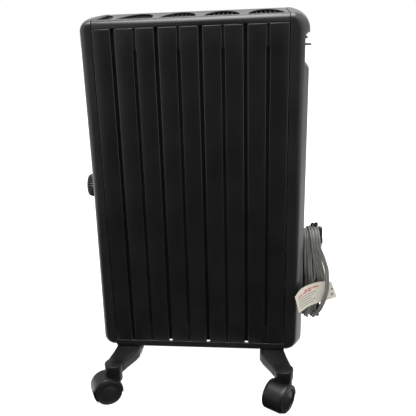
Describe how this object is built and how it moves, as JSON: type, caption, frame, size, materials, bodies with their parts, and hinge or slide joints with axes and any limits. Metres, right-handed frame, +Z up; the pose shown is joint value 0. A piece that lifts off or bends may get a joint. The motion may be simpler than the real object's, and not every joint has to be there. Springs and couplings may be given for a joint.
{
  "type": "oil filled radiator heater",
  "caption": "Upright oil filled radiator with folded flat-front fins, end caps, side thermostat knob, cord storage hooks, and splayed feet on hooded twin-wheel casters.",
  "frame": {"origin": "on the floor, under the middle of the heater measured without its cord", "axes": "+Z up, +X towards the cord-storage end, -Y is the front"},
  "size_m": [0.4509, 0.3463, 0.6738],
  "materials": {
    "fin_paint": "satin black powder coat on folded steel sheet",
    "cover_plastic": "fine-textured black moulded covers",
    "caster_plastic": "black moulded feet and caster hoods",
    "wheel_plastic": "black moulded wheels",
    "control_plastic": "semi-gloss black controls, hooks and plug",
    "steel": "zinc plated steel",
    "brass": "brass and plated contacts",
    "bakelite": "dark moulded electrical parts",
    "rocker_red": "red rocker switches",
    "lamp_lens": "orange pilot lamp lens",
    "cord_pvc": "warm grey flexible sheath",
    "tag_paper": "coated paper tag"
  },
  "bodies": {
    "heater_body": {"control_chassis_plate": "steel", "control_end_cap": "cover_plastic", "control_panel": "control_plastic", "cord_chassis_plate": "steel", "cord_end_cap": "cover_plastic", "cord_gland": "control_plastic", "cord_hook_lower": "control_plastic", "cord_hook_upper": "control_plastic", "cord_tag": "tag_paper", "cord_tie": "control_plastic", "drain_plug": "steel", "filler_plug": "steel", "fin_1": "fin_paint", "fin_2": "fin_paint", "fin_3": "fin_paint", "fin_4": "fin_paint", "fin_5": "fin_paint", "foot_control_end": "caster_plastic", "foot_cord_end": "caster_plastic", "heating_element": "brass", "lower_rail_front": "cover_plastic", "lower_rail_rear": "cover_plastic", "pilot_lamp": "lamp_lens", "plug_blade_1": "brass", "plug_blade_2": "brass", "plug_body": "control_plastic", "plug_clip": "control_plastic", "supply_cord_hank": "cord_pvc", "supply_cord_lead": "cord_pvc", "supply_cord_tail": "cord_pvc", "switch_body_1": "bakelite", "switch_body_2": "bakelite", "terminal_block": "bakelite", "thermal_cutout": "steel", "thermostat_body": "bakelite", "tip_over_switch": "bakelite", "top_cover": "cover_plastic", "u_bolt_control_end": "steel", "u_bolt_cord_end": "steel", "wing_nut_control_end_front": "steel", "wing_nut_control_end_rear": "steel", "wing_nut_cord_end_front": "steel", "wing_nut_cord_end_rear": "steel", "wiring_loom": "bakelite"},
    "thermostat_control": {"thermostat_knob": "control_plastic", "thermostat_shaft": "steel"},
    "rocker_lower": {"power_rocker_1": "rocker_red"},
    "rocker_upper": {"power_rocker_2": "rocker_red"},
    "caster_control_front": {"caster_hood_control_front": "caster_plastic", "caster_stem_control_front": "steel"},
    "wheels_control_front": {"caster_wheels_control_front": "wheel_plastic"},
    "caster_control_rear": {"caster_hood_control_rear": "caster_plastic", "caster_stem_control_rear": "steel"},
    "wheels_control_rear": {"caster_wheels_control_rear": "wheel_plastic"},
    "caster_cord_front": {"caster_hood_cord_front": "caster_plastic", "caster_stem_cord_front": "steel"},
    "wheels_cord_front": {"caster_wheels_cord_front": "wheel_plastic"},
    "caster_cord_rear": {"caster_hood_cord_rear": "caster_plastic", "caster_stem_cord_rear": "steel"},
    "wheels_cord_rear": {"caster_wheels_cord_rear": "wheel_plastic"}
  },
  "joints": [
    {"name": "thermostat_turn", "type": "hinge", "parent": "heater_body", "child": "thermostat_control", "pos_m": [-0.2018, 0, 0.3756], "axis": [1, 0, 0], "range_deg": [0, 300]},
    {"name": "lower_rocker_tip", "type": "hinge", "parent": "heater_body", "child": "rocker_lower", "pos_m": [-0.1922, 0, 0.432], "axis": [0, 1, 0], "range_deg": [-14, 0]},
    {"name": "upper_rocker_tip", "type": "hinge", "parent": "heater_body", "child": "rocker_upper", "pos_m": [-0.1922, 0, 0.462], "axis": [0, 1, 0], "range_deg": [-14, 0]},
    {"name": "swivel_control_front", "type": "hinge", "parent": "heater_body", "child": "caster_control_front", "pos_m": [-0.1654, -0.1266, 0.06], "axis": [0, 0, 1], "continuous": true},
    {"name": "roll_control_front", "type": "hinge", "parent": "caster_control_front", "child": "wheels_control_front", "pos_m": [-0.1799, -0.13336, 0.025], "axis": [-0.4226, 0.9063, 0], "continuous": true},
    {"name": "swivel_control_rear", "type": "hinge", "parent": "heater_body", "child": "caster_control_rear", "pos_m": [-0.1654, 0.1266, 0.06], "axis": [0, 0, 1], "continuous": true},
    {"name": "roll_control_rear", "type": "hinge", "parent": "caster_control_rear", "child": "wheels_control_rear", "pos_m": [-0.1799, 0.13336, 0.025], "axis": [0.4226, 0.9063, 0], "continuous": true},
    {"name": "swivel_cord_front", "type": "hinge", "parent": "heater_body", "child": "caster_cord_front", "pos_m": [0.1418, -0.1266, 0.06], "axis": [0, 0, 1], "continuous": true},
    {"name": "roll_cord_front", "type": "hinge", "parent": "caster_cord_front", "child": "wheels_cord_front", "pos_m": [0.13309, -0.14002, 0.025], "axis": [-0.8387, 0.5446, 0], "continuous": true},
    {"name": "swivel_cord_rear", "type": "hinge", "parent": "heater_body", "child": "caster_cord_rear", "pos_m": [0.1418, 0.1266, 0.06], "axis": [0, 0, 1], "continuous": true},
    {"name": "roll_cord_rear", "type": "hinge", "parent": "caster_cord_rear", "child": "wheels_cord_rear", "pos_m": [0.13152, 0.13886, 0.025], "axis": [0.766, 0.6428, 0], "continuous": true}
  ]
}
